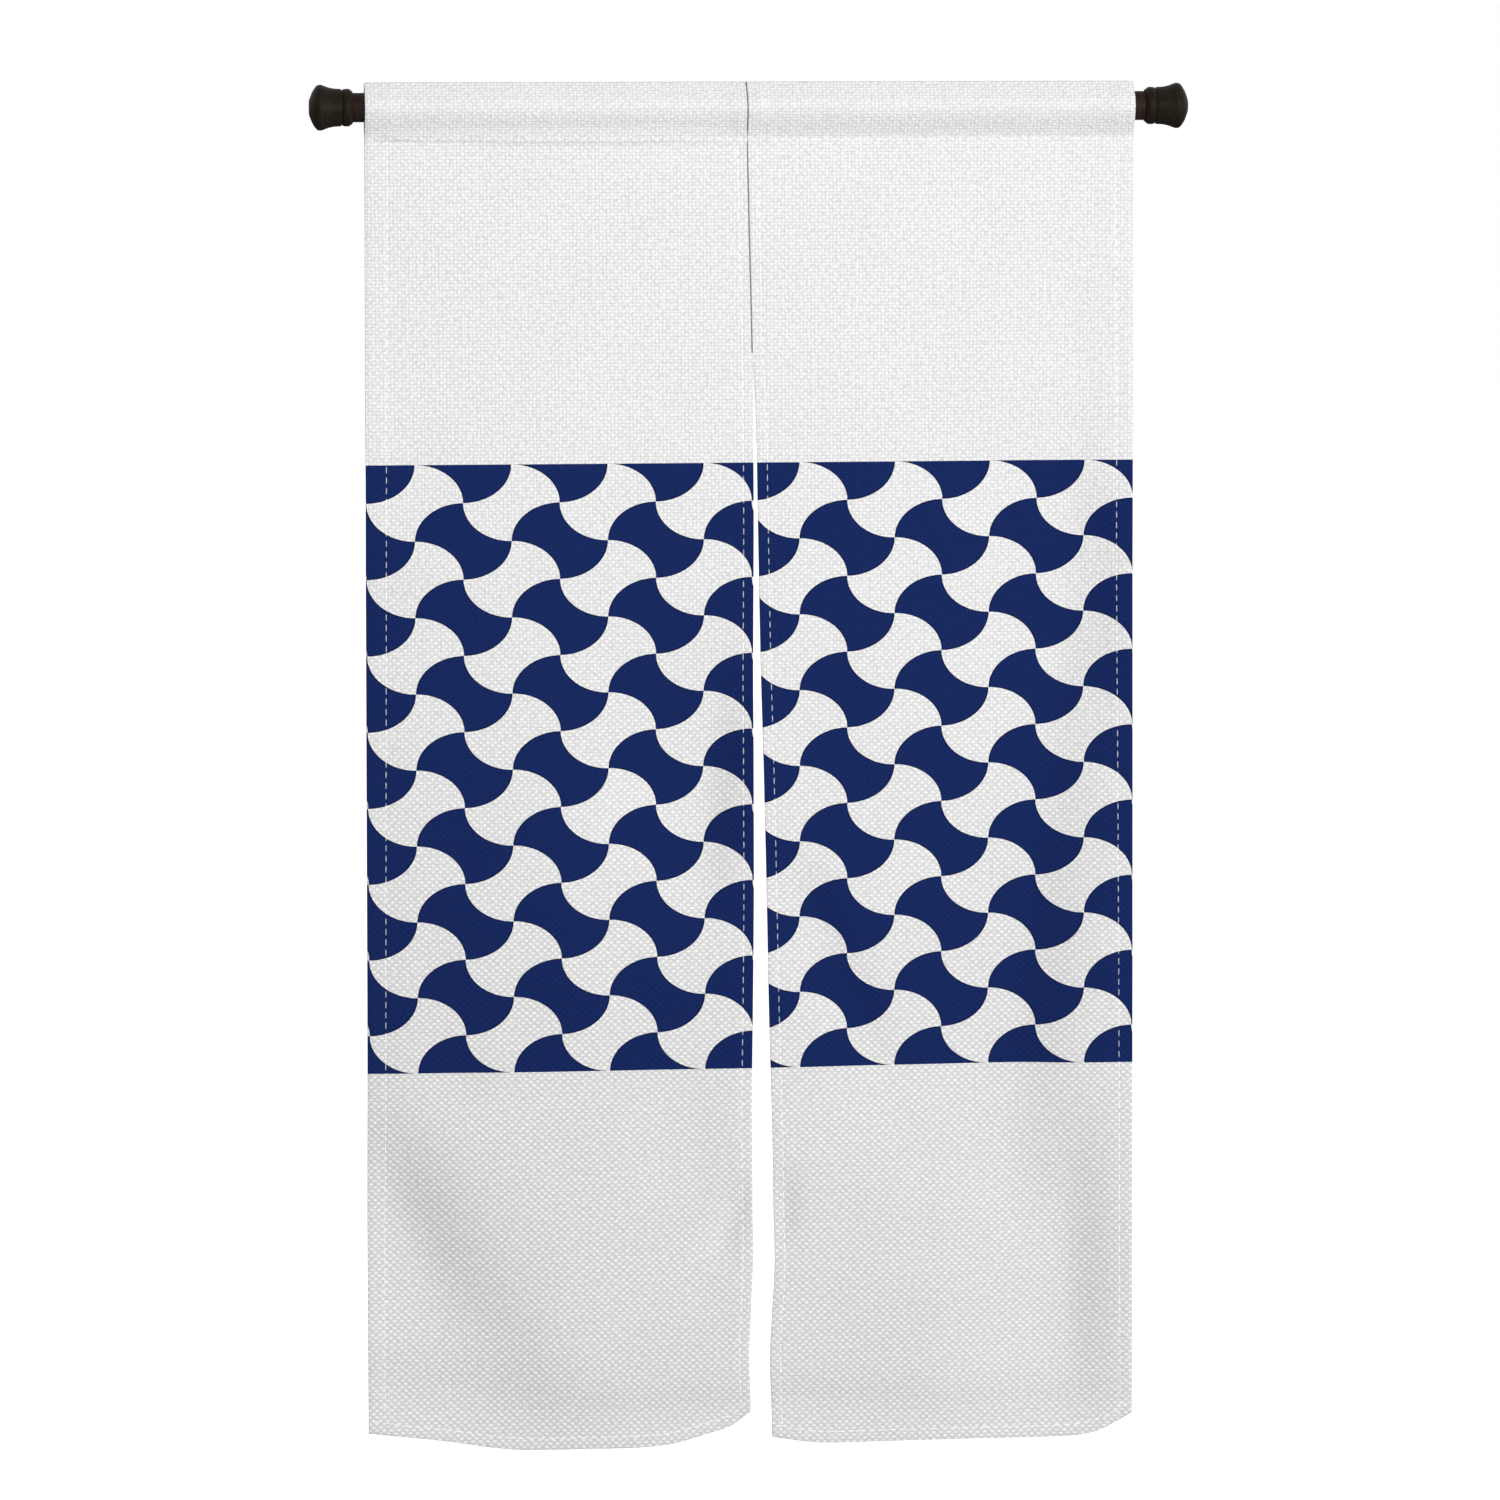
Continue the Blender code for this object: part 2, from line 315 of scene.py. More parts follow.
def clothLanes(side):
    # Lanes from the raw edge of the left hem, round its fold, over the front and back into
    # the right hem, each as (from the left edge, from the right edge, share, layer).
    step = curtain["laneSpacing"]
    turn = curtain["layerStep"] / 2
    lanes = []

    def hemLanes(width):
        behind = [(inset, 1.0) for inset in np.linspace(width, turn, max(4, round(width / step)))]
        folded = []
        for angle in np.linspace(0, math.pi, 7)[1:-1]:
            folded.append((turn * (1 - math.sin(angle)), (1 + math.cos(angle)) / 2))
        line = width - stitch["hemInset"]
        near = stitch["dipWidth"]
        front = [turn, 0.35 * line, 0.7 * line, line - 2 * near, line - near, line, line + near,
                 line + 2 * near, width + 0.45 * curtain["hemEase"], width + curtain["hemEase"]]
        return behind + folded + [(inset, 0.0) for inset in front]

    leftHem, rightHem = hemWidths(side)
    lanes += [("left", inset, layer) for inset, layer in hemLanes(leftHem)]
    plain = curtain["halfWidth"] - leftHem - rightHem - 2 * curtain["hemEase"]
    count = round(plain / step)
    lanes += [("share", index / count, 0.0) for index in range(1, count)]
    lanes += [("right", inset, layer) for inset, layer in reversed(hemLanes(rightHem))]
    return lanes


def laneX(lanes, drop, side):
    # drop holds one value for each lane
    leftX, rightX = panelEdges(drop, side)
    leftHem, rightHem = hemWidths(side)
    leftScale, rightScale = hemScales(side, drop)
    plainLeft = leftX + (leftHem + curtain["hemEase"]) * leftScale
    plainRight = rightX - (rightHem + curtain["hemEase"]) * rightScale
    values = np.array([value for _, value, _ in lanes])
    kinds = np.array([kind for kind, _, _ in lanes])
    shared = plainLeft + values * (plainRight - plainLeft)
    atLeft, atRight = leftX + values * leftScale, rightX - values * rightScale
    return np.where(kinds == "left", atLeft, np.where(kinds == "right", atRight, shared))


def hemShare(lanes, side):
    # 1 where the lane lies over a side hem, down to 0 on the plain cloth
    leftHem, rightHem = hemWidths(side)
    shares = []
    for kind, value, _ in lanes:
        width = leftHem if kind == "left" else rightHem
        past = 1.0 if kind == "share" else (value - width) / curtain["hemEase"]
        shares.append(1 - float(ease(past)))
    return np.array(shares)


def pocketPath(inward, thickHem):
    # (y, z) of one layer round the pole, from the stitch line in front to the flap behind
    half = curtain["clothThickness"] / 2
    reach = pole["radius"] + pole["seatGap"] + half + curtain["layerStep"] * (thickHem - inward)
    frontY = curtain["frontFaceY"] + half + inward * curtain["layerStep"]
    backY = curtain["frontFaceY"] + half + curtain["layerStep"] * (1 + 2 * thickHem - inward)
    top = curtain["pocketTop"] - half - inward * curtain["layerStep"]
    foldRadius = curtain["topFoldRadius"] - half - inward * curtain["layerStep"]
    stitchZ = curtain["pocketTop"] - curtain["stitchDrop"]

    def side(footY):
        low = math.atan2(footY, -stitchZ) + math.acos(reach / math.hypot(footY, stitchZ))
        low += math.radians(curtain["pocketEase"])
        foldZ = top - foldRadius
        high = math.acos((reach - foldRadius) / foldZ)
        startY, startZ = reach * math.sin(low), -reach * math.cos(low)
        span = math.hypot(startY - footY, startZ - stitchZ)
        lean = curtain["pocketLean"]
        riseY, riseZ = lean * (startY - footY), lean * (startZ - stitchZ) + (1 - lean) * span
        points = []
        for t in np.linspace(0, 1, curtain["frontPoints"])[:-1]:
            # part upright at the stitches, and along the pole's round where it meets it
            near, rise, land = 1 - ease(t), t * (1 - t) ** 2, (t**3 - t**2) * span
            y = near * footY + (1 - near) * startY + land * math.cos(low) + rise * riseY
            z = near * stitchZ + (1 - near) * startZ + land * math.sin(low) + rise * riseZ
            points.append((y, z))
        for turn in np.linspace(low, math.pi - high, 10):
            points.append((reach * math.sin(turn), -reach * math.cos(turn)))
        endY, endZ = points[-1]
        foldY, foldStartZ = foldRadius * math.sin(high), foldZ + foldRadius * math.cos(high)
        for t in (0.35, 0.7):
            points.append((endY + (foldY - endY) * t, endZ + (foldStartZ - endZ) * t))
        for turn in np.linspace(high, 0, 6)[:-1]:
            points.append((foldRadius * math.sin(turn), foldZ + foldRadius * math.cos(turn)))
        return points

    path = [(-y, z) for y, z in side(-frontY)]
    path.append((0.0, top))
    path += reversed(side(backY))
    for share in (0.5, 1.0):
        path.append((backY, stitchZ - share * curtain["flapTail"]))
    return path


def buildGrid(name):
    panel = panels[name]
    side = panel["side"]
    lanes = clothLanes(side)
    layers = np.array([layer for _, _, layer in lanes])
    thickHem = hemShare(lanes, side)
    half = curtain["clothThickness"] / 2
    step = curtain["layerStep"]
    midY = curtain["frontFaceY"] + half
    flatX = laneX(lanes, np.full(len(lanes), curtain["drop"]), side)
    leftX, rightX = panelEdges(np.full(len(lanes), curtain["drop"]), side)
    foot = readCurve(panel["foot"], np.clip((flatX - leftX) / (rightX - leftX), 0, 1), 1)
    turnHeight = step * (1 + 2 * thickHem) / 2
    rows, cloth = [], []

    def addRow(x, y, z, u, v):
        rows.append(np.stack([x, y, z], 1))
        cloth.append(np.stack([u, v], 1))

    def clothU(x, drop):
        # the hems' own cloth goes on past the edge that it is folded round
        left, right = panelEdges(drop, side)
        behind = layers > 0.5
        kinds = np.array([kind for kind, _, _ in lanes])
        pastRight = np.where(behind & (kinds == "right"), 2 * right - x, x)
        return np.where(behind & (kinds == "left"), 2 * left - x, pastRight)

    def depthAt(x, drop):
        grown = ease((drop - foldShape["start"]) / foldShape["grow"])
        return foldDepth(panel, x, drop) + waver(x, drop) * grown

    # the foot hem, from its raw edge on the back round the fold at the foot
    for height in np.linspace(curtain["footHem"], 0.0, 4):
        drop = foot - turnHeight - height
        x = laneX(lanes, drop, side)
        y = midY + depthAt(x, drop) + step * (1 + 2 * thickHem - layers)
        addRow(x, y, curtain["pocketTop"] - drop, clothU(x, drop), foot + height)
    for angle in np.linspace(0, math.pi, 8)[1:-1]:
        radius = turnHeight - step * layers
        drop = foot - turnHeight + radius * math.sin(angle)
        x = laneX(lanes, foot - turnHeight, side)
        y = midY + depthAt(x, foot - turnHeight) + turnHeight + radius * math.cos(angle)
        addRow(x, y, curtain["pocketTop"] - drop, clothU(x, foot), foot)
    hangStart = len(rows)
    hanging = curtain["drop"] - curtain["stitchDrop"]
    shares = list(np.linspace(0, 1, round(hanging / curtain["rowSpacing"]) + 1)[:-2])
    shares += [1 - above / hanging for above in curtain["creaseRows"]]
    for share in shares:
        start = foot - turnHeight
        drop = start + (curtain["stitchDrop"] - start) * share
        x = laneX(lanes, drop, side)
        y = midY + depthAt(x, drop) + step * layers
        y = y + hemDip(x, drop, foot, side) - gather(x, drop)
        addRow(x, y, curtain["pocketTop"] - drop, clothU(x, drop), drop)
    pocketStart = len(rows)
    paths = np.array([pocketPath(layer, share) for layer, share in zip(layers, thickHem)])
    travelled = np.zeros(len(lanes))
    for index in range(paths.shape[1]):
        y, z = paths[:, index, 0], paths[:, index, 1]
        drop = curtain["pocketTop"] - z
        x = laneX(lanes, drop, side)
        if index < curtain["frontPoints"]:
            y = y - gather(x, drop)
        if index:
            travelled += np.hypot(*(paths[:, index] - paths[:, index - 1]).T)
        addRow(x, y, z, clothU(x, drop), curtain["stitchDrop"] - travelled)
    return {
        "points": np.array(rows),
        "cloth": np.array(cloth),
        "lanes": lanes,
        "layers": layers,
        "hangStart": hangStart,
        "pocketStart": pocketStart,
        "foot": foot,
    }


def hemDip(x, drop, foot, side):
    # the lines of stitches pull the cloth in a little, most under each stitch
    leftX, rightX = panelEdges(drop, side)
    leftHem, rightHem = hemWidths(side)
    leftScale, rightScale = hemScales(side, drop)
    inset = stitch["hemInset"]
    dip = np.zeros(np.shape(x))
    beat = 0.7 + 0.3 * np.cos(2 * math.pi * drop / stitch["pitch"])
    for line in (leftX + (leftHem - inset) * leftScale, rightX - (rightHem - inset) * rightScale):
        dip += beat * np.exp(-(((x - line) / stitch["dipWidth"]) ** 2))
    footLine = foot - curtain["footHem"] + inset
    dip += np.exp(-(((drop - footLine) / (2 * stitch["dipWidth"])) ** 2))
    return stitch["dip"] * dip


def meshFromGrid(name, grid, materials):
    points, cloth = grid["points"], grid["cloth"]
    rowCount, laneCount = points.shape[:2]
    corner = (np.arange(rowCount - 1)[:, None] * laneCount + np.arange(laneCount - 1)).ravel()
    faces = np.stack([corner, corner + 1, corner + laneCount + 1, corner + laneCount], 1)
    mesh = bpy.data.meshes.new(name)
    mesh.from_pydata(points.reshape(-1, 3).tolist(), [], faces.tolist())
    layer = mesh.uv_layers.new(name="clothMap")
    loops = np.empty(len(mesh.loops), np.int32)
    mesh.loops.foreach_get("vertex_index", loops)
    layer.uv.foreach_set("vector", cloth.reshape(-1, 2)[loops].astype(np.float32).ravel())
    for material in materials:
        mesh.materials.append(material)
    mesh.shade_smooth()
    piece = bpy.data.objects.new(name, mesh)
    bpy.context.scene.collection.objects.link(piece)
    return piece


# Node helpers

def addNode(tree, kind, **settings):
    node = tree.nodes.new(kind)
    for key, value in settings.items():
        setattr(node, key, value)
    return node


def feed(tree, value, socket):
    if isinstance(value, bpy.types.NodeSocket):
        tree.links.new(value, socket)
    else:
        socket.default_value = value


def maths(tree, operation, *values):
    node = addNode(tree, "ShaderNodeMath", operation=operation)
    for value, socket in zip(values, node.inputs):
        feed(tree, value, socket)
    return node.outputs[0]


def blendColours(tree, share, first, second):
    node = addNode(tree, "ShaderNodeMix", data_type="RGBA")
    feed(tree, share, node.inputs["Factor"])
    feed(tree, first, node.inputs[6])
    feed(tree, second, node.inputs[7])
    return node.outputs[2]


def shaded(tree, colour, tone):
    node = addNode(tree, "ShaderNodeMix", data_type="RGBA", blend_type="MULTIPLY")
    feed(tree, 1.0, node.inputs["Factor"])
    feed(tree, colour, node.inputs[6])
    feed(tree, tone, node.inputs[7])
    return node.outputs[2]


def mapRange(tree, value, fromLow, fromHigh, toLow, toHigh, smooth=False):
    node = addNode(tree, "ShaderNodeMapRange")
    if smooth:
        node.interpolation_type = "SMOOTHSTEP"
    names = ("Value", "From Min", "From Max", "To Min", "To Max")
    for key, item in zip(names, (value, fromLow, fromHigh, toLow, toHigh)):
        feed(tree, item, node.inputs[key])
    return node.outputs[0]


def newGroup(name, inputs, outputs):
    tree = bpy.data.node_groups.new(name, "ShaderNodeTree")
    for label, kind, value in inputs:
        socket = tree.interface.new_socket(label, in_out="INPUT", socket_type=kind)
        if value is not None:
            socket.default_value = value
    for label, kind in outputs:
        tree.interface.new_socket(label, in_out="OUTPUT", socket_type=kind)
    source = addNode(tree, "NodeGroupInput")
    result = addNode(tree, "NodeGroupOutput")
    return tree, source.outputs, result.inputs


def placeGroup(tree, group, **values):
    node = addNode(tree, "ShaderNodeGroup", node_tree=group)
    for key, value in values.items():
        feed(tree, value, node.inputs[key])
    return node.outputs


number, vector = "NodeSocketFloat", "NodeSocketVector"


def plainWeaveGroup():
    # Over and under of thick, uneven yarns. Map is the place on the cloth in metres. The warp
    # stands out and leans more at the head, where the cloth's weight pulls it straight.
    inputs = (
        ("Map", vector, None), ("WarpPitch", number, 0.00410), ("WeftPitch", number, 0.00367),
        ("Slub", number, 0.42), ("HeadRise", number, 0.70), ("FootRise", number, 0.30),
        ("HeadLean", number, 0.10), ("FootLean", number, 0.03),
    )
    tree, given, result = newGroup("plainWeave", inputs, (("Height", number), ("Yarn", number)))
    wander = addNode(tree, "ShaderNodeTexNoise", noise_dimensions="2D")
    wander.inputs["Scale"].default_value = 55.0
    wander.inputs["Detail"].default_value = 2.0
    feed(tree, given["Map"], wander.inputs["Vector"])
    split = addNode(tree, "ShaderNodeSeparateXYZ")
    feed(tree, given["Map"], split.inputs[0])
    parts = addNode(tree, "ShaderNodeSeparateColor")
    feed(tree, wander.outputs["Color"], parts.inputs[0])
    shiftU = maths(tree, "MULTIPLY", maths(tree, "SUBTRACT", parts.outputs[0], 0.5), given["Slub"])
    shiftV = maths(tree, "MULTIPLY", maths(tree, "SUBTRACT", parts.outputs[1], 0.5), given["Slub"])
    a = maths(tree, "ADD", maths(tree, "DIVIDE", split.outputs[0], given["WarpPitch"]), shiftU)
    b = maths(tree, "ADD", maths(tree, "DIVIDE", split.outputs[1], given["WeftPitch"]), shiftV)

    down = mapRange(tree, split.outputs[1], 0.35, 1.15, 0.0, 1.0)
    rise = mapRange(tree, down, 0.0, 1.0, given["HeadRise"], given["FootRise"])
    twist = mapRange(tree, down, 0.0, 1.0, given["HeadLean"], given["FootLean"])
    twist = maths(tree, "MULTIPLY", mapRange(tree, parts.outputs[2], 0.35, 0.65, -0.4, 1.4), twist)

    def yarn(across, along, offset):
        # each float leans a little, because the yarn is twisted, more in some places
        phase = maths(tree, "ADD", maths(tree, "SUBTRACT", along, 0.5), maths(tree, "FLOOR", across))
        turn = maths(tree, "MULTIPLY", maths(tree, "ADD", phase, offset), math.pi)
        lean = maths(tree, "MULTIPLY", maths(tree, "SINE", turn), twist)
        place = addNode(tree, "ShaderNodeClamp")
        feed(tree, maths(tree, "ADD", maths(tree, "FRACT", across), lean), place.inputs[0])
        profile = maths(tree, "SINE", maths(tree, "MULTIPLY", place.outputs[0], math.pi))
        body = maths(tree, "POWER", maths(tree, "MAXIMUM", profile, 0.0001), 0.3)
        wave = maths(tree, "COSINE", turn)
        lift = mapRange(tree, wave, -1.0, 1.0, 0.12, 1.0)
        return maths(tree, "MULTIPLY", body, lift)

    warp = maths(tree, "MULTIPLY", yarn(a, b, 0.0), rise)
    weft = yarn(b, a, 1.0)
    height = maths(tree, "MAXIMUM", warp, weft)
    thick = addNode(tree, "ShaderNodeTexNoise", noise_dimensions="2D")
    thick.inputs["Scale"].default_value = 210.0
    thick.inputs["Detail"].default_value = 1.0
    feed(tree, given["Map"], thick.inputs["Vector"])
    uneven = mapRange(tree, thick.outputs[0], 0.25, 0.75, 0.60, 1.24)
    yarns = maths(tree, "MULTIPLY", height, uneven)
    feed(tree, yarns, result["Height"])
    feed(tree, yarns, result["Yarn"])
    return tree


def weightPrintGroup():
    # Interlocking weights: in turn, a quarter of an ellipse about a white and a navy centre
    # bounds each quarter of the repeat. Ink is 1 on navy, Rim is 1 along its boundary.
    inputs = (
        ("Map", vector, None), ("Left", number, -0.425), ("BandTop", number, 0.4183),
        ("Across", number, 0.053125), ("Down", number, 0.0420800), ("RowCount", number, 16.0),
        ("RimWidth", number, 0.0012),
    )
    tree, given, result = newGroup("weightPrint", inputs, (("Ink", number), ("Rim", number)))
    split = addNode(tree, "ShaderNodeSeparateXYZ")
    feed(tree, given["Map"], split.inputs[0])
    x = maths(tree, "DIVIDE", maths(tree, "SUBTRACT", split.outputs[0], given["Left"]), given["Across"])
    y = maths(tree, "DIVIDE", maths(tree, "SUBTRACT", split.outputs[1], given["BandTop"]), given["Down"])

    def fromCentre(value):
        # -1 to 1 about the white centre of this repeat
        part = maths(tree, "FRACT", maths(tree, "DIVIDE", value, 2.0))
        return maths(tree, "SUBTRACT", maths(tree, "MULTIPLY", part, 2.0), 1.0)

    dx, dy = fromCentre(x), fromCentre(y)
    white = maths(tree, "LESS_THAN", maths(tree, "MULTIPLY", dx, dy), 0.0)

    def radius(first, second):
        squares = [maths(tree, "MULTIPLY", value, value) for value in (first, second)]
        return maths(tree, "SQRT", maths(tree, "ADD", *squares))

    cornerX = maths(tree, "SUBTRACT", 1.0, maths(tree, "ABSOLUTE", dx))
    cornerY = maths(tree, "SUBTRACT", 1.0, maths(tree, "ABSOLUTE", dy))
    inWhite = maths(tree, "SUBTRACT", radius(dx, dy), 1.0)
    inNavy = maths(tree, "SUBTRACT", 1.0, radius(cornerX, cornerY))
    swap = addNode(tree, "ShaderNodeMix", data_type="FLOAT")
    feed(tree, white, swap.inputs[0])
    feed(tree, inNavy, swap.inputs[2])
    feed(tree, inWhite, swap.inputs[3])
    edge = maths(tree, "MULTIPLY", swap.outputs[0], given["Down"])
    ink = mapRange(tree, edge, -0.00015, 0.00015, 0.0, 1.0)
    above, below = maths(tree, "GREATER_THAN", y, 0.0), maths(tree, "LESS_THAN", y, given["RowCount"])
    band = maths(tree, "MULTIPLY", above, below)
    halfRim = maths(tree, "MULTIPLY", given["RimWidth"], 0.5)
    fromRim = maths(tree, "ABSOLUTE", maths(tree, "SUBTRACT", edge, halfRim))
    rim = maths(tree, "LESS_THAN", fromRim, halfRim)
    feed(tree, maths(tree, "MULTIPLY", ink, band), result["Ink"])
    feed(tree, maths(tree, "MULTIPLY", rim, band), result["Rim"])
    return tree


def mottleGroup():
    # Slow, soft differences of tone over a surface, and a fine grain.
    inputs = (("Map", vector, None), ("Size", number, 0.12), ("Low", number, 0.97), ("High", number, 1.0))
    tree, given, result = newGroup("mottle", inputs, (("Tone", number), ("Grain", number)))
    for label, finer in (("Tone", 1.0), ("Grain", 14.0)):
        cloud = addNode(tree, "ShaderNodeTexNoise")
        cloud.inputs["Detail"].default_value = 3.0
        feed(tree, given["Map"], cloud.inputs["Vector"])
        feed(tree, maths(tree, "DIVIDE", finer, given["Size"]), cloud.inputs["Scale"])
        feed(tree, mapRange(tree, cloud.outputs[0], 0.3, 0.7, given["Low"], given["High"]), result[label])
    return tree


weaveGroup = plainWeaveGroup()
printGroup = weightPrintGroup()
toneGroup = mottleGroup()


def newMaterial(name):
    material = bpy.data.materials.new(name)
    material.use_nodes = True
    tree = material.node_tree
    return material, tree, tree.nodes["Principled BSDF"]


clothLook = {
    "white": (0.828, 0.828, 0.829),
    "navy": (0.0050, 0.0178, 0.1030),
    "navyRim": (0.0030, 0.0052, 0.0500),
    "roughness": (0.97, 0.84),  # of the hollows and of the yarns
    "weaveHeight": 0.00085,
    "weaveStrength": 0.75,
    "shadow": (0.69, 0.86),     # painted shade of the hollows between white and between navy yarns
    "faceInk": 1.0,
    "backInk": 0.86,            # the print shows through to the wrong side
}


def clothMaterial(name, inkStrength):
    # inkStrength 1 is the printed face, and less is the wrong side that the print shows through
    material, tree, shader = newMaterial(name)
    place = addNode(tree, "ShaderNodeUVMap", uv_map="clothMap").outputs[0]
    weave = placeGroup(tree, weaveGroup, Map=place)
    pattern = placeGroup(tree, printGroup, Map=place)
    tone = placeGroup(tree, toneGroup, Map=place, Size=0.10, Low=0.975, High=1.0)
    # painted shade: the lower a yarn lies, the darker its colour, down to the shadow tone in the hollows
    hollowShade = mapRange(tree, pattern["Ink"], 0.0, 1.0, *clothLook["shadow"])
    shade = mapRange(tree, weave["Yarn"], 0.15, 0.85, hollowShade, 1.0)
    shade = maths(tree, "MULTIPLY", shade, tone["Tone"])
    inked = blendColours(tree, pattern["Rim"], (*clothLook["navy"], 1), (*clothLook["navyRim"], 1))
    ink = maths(tree, "MULTIPLY", pattern["Ink"], inkStrength)
    colour = blendColours(tree, ink, (*clothLook["white"], 1), inked)
    feed(tree, shaded(tree, colour, shade), shader.inputs["Base Color"])
    rough = mapRange(tree, weave["Yarn"], 0.0, 1.0, *clothLook["roughness"])
    feed(tree, rough, shader.inputs["Roughness"])
    bump = addNode(tree, "ShaderNodeBump")
    bump.inputs["Strength"].default_value = clothLook["weaveStrength"]
    bump.inputs["Distance"].default_value = clothLook["weaveHeight"]
    feed(tree, weave["Height"], bump.inputs["Height"])
    feed(tree, bump.outputs[0], shader.inputs["Normal"])
    shader.inputs["Specular IOR Level"].default_value = 0.12
    return material


def threadMaterial(name, colour, inked):
    # the print colours the thread too, less than the cloth
    material, tree, shader = newMaterial(name)
    place = addNode(tree, "ShaderNodeTexCoord").outputs["Object"]
    apart = addNode(tree, "ShaderNodeSeparateXYZ")
    feed(tree, place, apart.inputs[0])
    onCloth = addNode(tree, "ShaderNodeCombineXYZ")
    feed(tree, apart.outputs[0], onCloth.inputs[0])
    feed(tree, maths(tree, "SUBTRACT", curtain["pocketTop"], apart.outputs[2]), onCloth.inputs[1])
    ink = placeGroup(tree, printGroup, Map=onCloth.outputs[0])["Ink"]
    own = blendColours(tree, ink, (*colour, 1), (*inked, 1))
    twist = addNode(tree, "ShaderNodeTexWave", bands_direction="DIAGONAL")
    twist.inputs["Scale"].default_value = 420.0
    twist.inputs["Distortion"].default_value = 1.5
    feed(tree, place, twist.inputs["Vector"])
    # painted shade: where the twist sinks the thread, its colour is a little darker
    tone = mapRange(tree, twist.outputs["Fac"], 0.0, 1.0, 0.96, 1.0)
    feed(tree, shaded(tree, own, tone), shader.inputs["Base Color"])
    feed(tree, mapRange(tree, twist.outputs["Fac"], 0.0, 1.0, 0.5, 0.42), shader.inputs["Roughness"])
    shader.inputs["Specular IOR Level"].default_value = 1.0
    bump = addNode(tree, "ShaderNodeBump")
    bump.inputs["Strength"].default_value = 0.2
    bump.inputs["Distance"].default_value = 0.0001
    feed(tree, twist.outputs["Fac"], bump.inputs["Height"])
    feed(tree, bump.outputs[0], shader.inputs["Normal"])
    return material


woodLook = {
    "pole": (0.0175, 0.0105, 0.0080),
    "cap": (0.0150, 0.0105, 0.0072),
    "roughness": (0.42, 0.58),
    "shine": 0.05,
    "grainDepth": 0.00012,
    # darkest tone of the painted shade in the hollows
    "grooveShade": 0.30,
}


def stainedMaterial(name, colour, worn):
    # dark stain over fine grain that runs along the pole, a little thinner where it is worn, with painted
    # shade in the hollows
    material, tree, shader = newMaterial(name)
    place = addNode(tree, "ShaderNodeTexCoord").outputs["Object"]
    stretch = addNode(tree, "ShaderNodeMapping")
    stretch.inputs["Scale"].default_value = (6.0, 90.0, 90.0)
    feed(tree, place, stretch.inputs["Vector"])
    grain = addNode(tree, "ShaderNodeTexNoise")
    grain.inputs["Scale"].default_value = 6.0
    grain.inputs["Detail"].default_value = 6.0
    feed(tree, stretch.outputs[0], grain.inputs["Vector"])
    tone = placeGroup(tree, toneGroup, Map=place, Size=0.05, Low=0.85, High=1.2)
    dark = tuple(0.72 * value for value in colour)
    light = tuple(1.35 * value for value in colour)
    shade = mapRange(tree, grain.outputs[0], 0.35, 0.68, 0.0, 1.0)
    stained = blendColours(tree, shade, (*dark, 1), (*light, 1))
    edge = addNode(tree, "ShaderNodeNewGeometry").outputs["Pointiness"]
    wear = maths(tree, "MULTIPLY", mapRange(tree, edge, 0.52, 0.60, 0.0, 1.0), worn)
    colourOut = blendColours(tree, wear, stained, (*[3.0 * value for value in colour], 1))
    # painted shade: the hollows of the turned profile are darker, most in the fine ring cut
    grooveShade = mapRange(tree, edge, 0.42, 0.492, woodLook["grooveShade"], 1.0)
    stainAndShade = shaded(tree, colourOut, maths(tree, "MULTIPLY", tone["Tone"], grooveShade))
    feed(tree, stainAndShade, shader.inputs["Base Color"])
    feed(tree, mapRange(tree, shade, 0.0, 1.0, *woodLook["roughness"]), shader.inputs["Roughness"])
    shader.inputs["Specular IOR Level"].default_value = woodLook["shine"]
    bump = addNode(tree, "ShaderNodeBump")
    bump.inputs["Strength"].default_value = 0.35
    bump.inputs["Distance"].default_value = woodLook["grainDepth"]
    feed(tree, grain.outputs[0], bump.inputs["Height"])
    feed(tree, bump.outputs[0], shader.inputs["Normal"])
    return material


clothFace = clothMaterial("clothFace", clothLook["faceInk"])
clothBack = clothMaterial("clothBack", clothLook["backInk"])
whiteThread = threadMaterial("whiteThread", (0.98, 0.98, 0.98), (0.42, 0.44, 0.50))
# the seam's thread: its dark grey is painted shade for the shadow in the gap between the panels
seamShadeThread = threadMaterial("seamShadeThread", (0.16, 0.16, 0.17), (0.16, 0.16, 0.17))
poleStain = stainedMaterial("poleStain", woodLook["pole"], 0.15)
capStain = stainedMaterial("capStain", woodLook["cap"], 0.15)
print("materials made")


# Cloth panels and their thread

